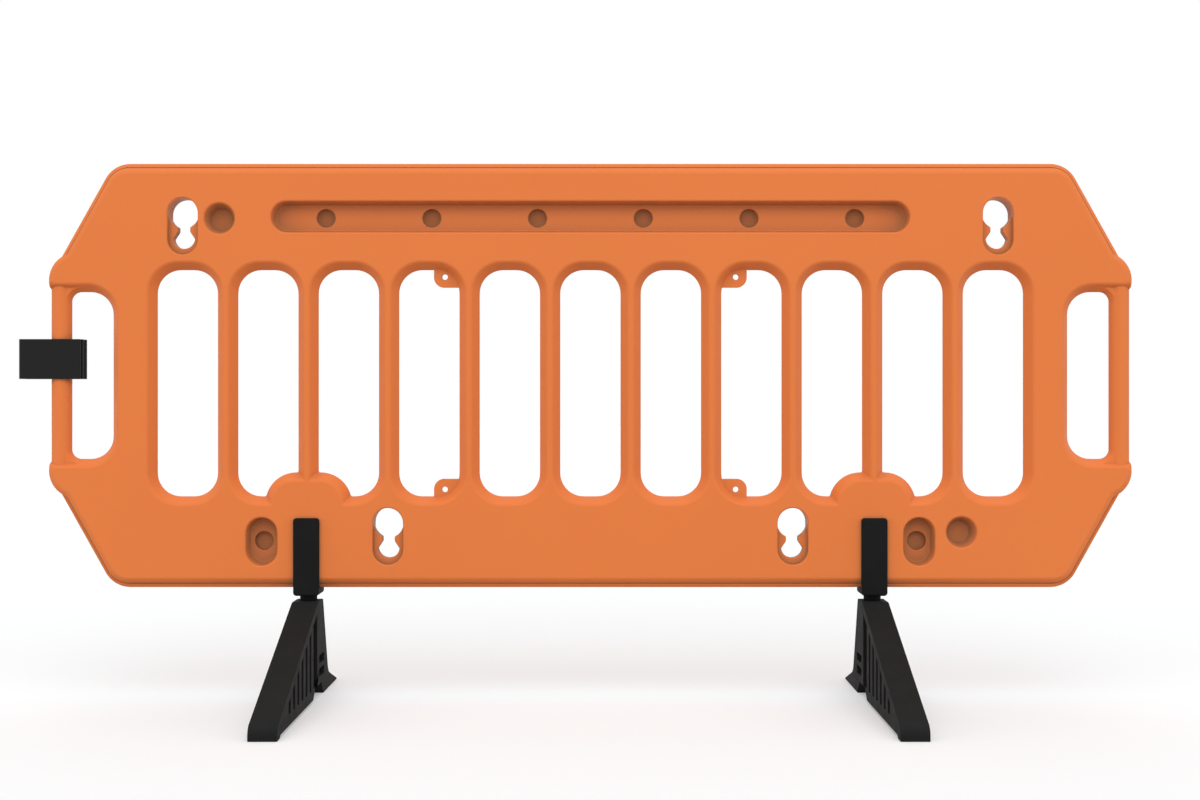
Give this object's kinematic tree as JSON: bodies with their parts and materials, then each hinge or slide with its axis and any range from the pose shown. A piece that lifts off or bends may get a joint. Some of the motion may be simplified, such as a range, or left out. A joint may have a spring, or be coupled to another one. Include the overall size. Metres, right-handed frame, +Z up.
{
  "type": "traffic barricade",
  "caption": "Slotted plastic barricade panel with handle bars, sign tabs and keyholes, on swivelling feet, with a sprung clip that links it to the next panel.",
  "frame": {"origin": "on the ground, under the middle of the whole outline, feet and clip included", "axes": "+X along the panel, with the clip at the -X end; -Y out of the front face; +Z up"},
  "size_m": [2.0443, 0.602, 0.9799],
  "materials": {
    "orange_plastic": "satin moulded",
    "foot_plastic": "matt moulded",
    "bracket_plastic": "satin moulded",
    "clip_plastic": "semi-gloss",
    "zinc_steel": "zinc plated"
  },
  "bodies": {
    "panel": {"panel": "orange_plastic", "left_bracket": "bracket_plastic", "right_bracket": "bracket_plastic", "swivel_posts": "zinc_steel", "post_clips": "zinc_steel"},
    "left_foot": {"left_foot": "foot_plastic"},
    "right_foot": {"right_foot": "foot_plastic"},
    "link_clip": {"link_clip": "clip_plastic"}
  },
  "joints": [
    {"name": "left_foot_swivel", "type": "hinge", "parent": "panel", "child": "left_foot", "pos_m": [-0.49312, 0.124, 0.12], "axis": [0, 0, 1], "continuous": true},
    {"name": "right_foot_swivel", "type": "hinge", "parent": "panel", "child": "right_foot", "pos_m": [0.54742, 0.124, 0.12], "axis": [0, 0, 1], "continuous": true},
    {"name": "link_clip_turn", "type": "hinge", "parent": "panel", "child": "link_clip", "pos_m": [-0.9486, 0.124, 0.6198], "axis": [0, 0, 1], "continuous": true}
  ]
}
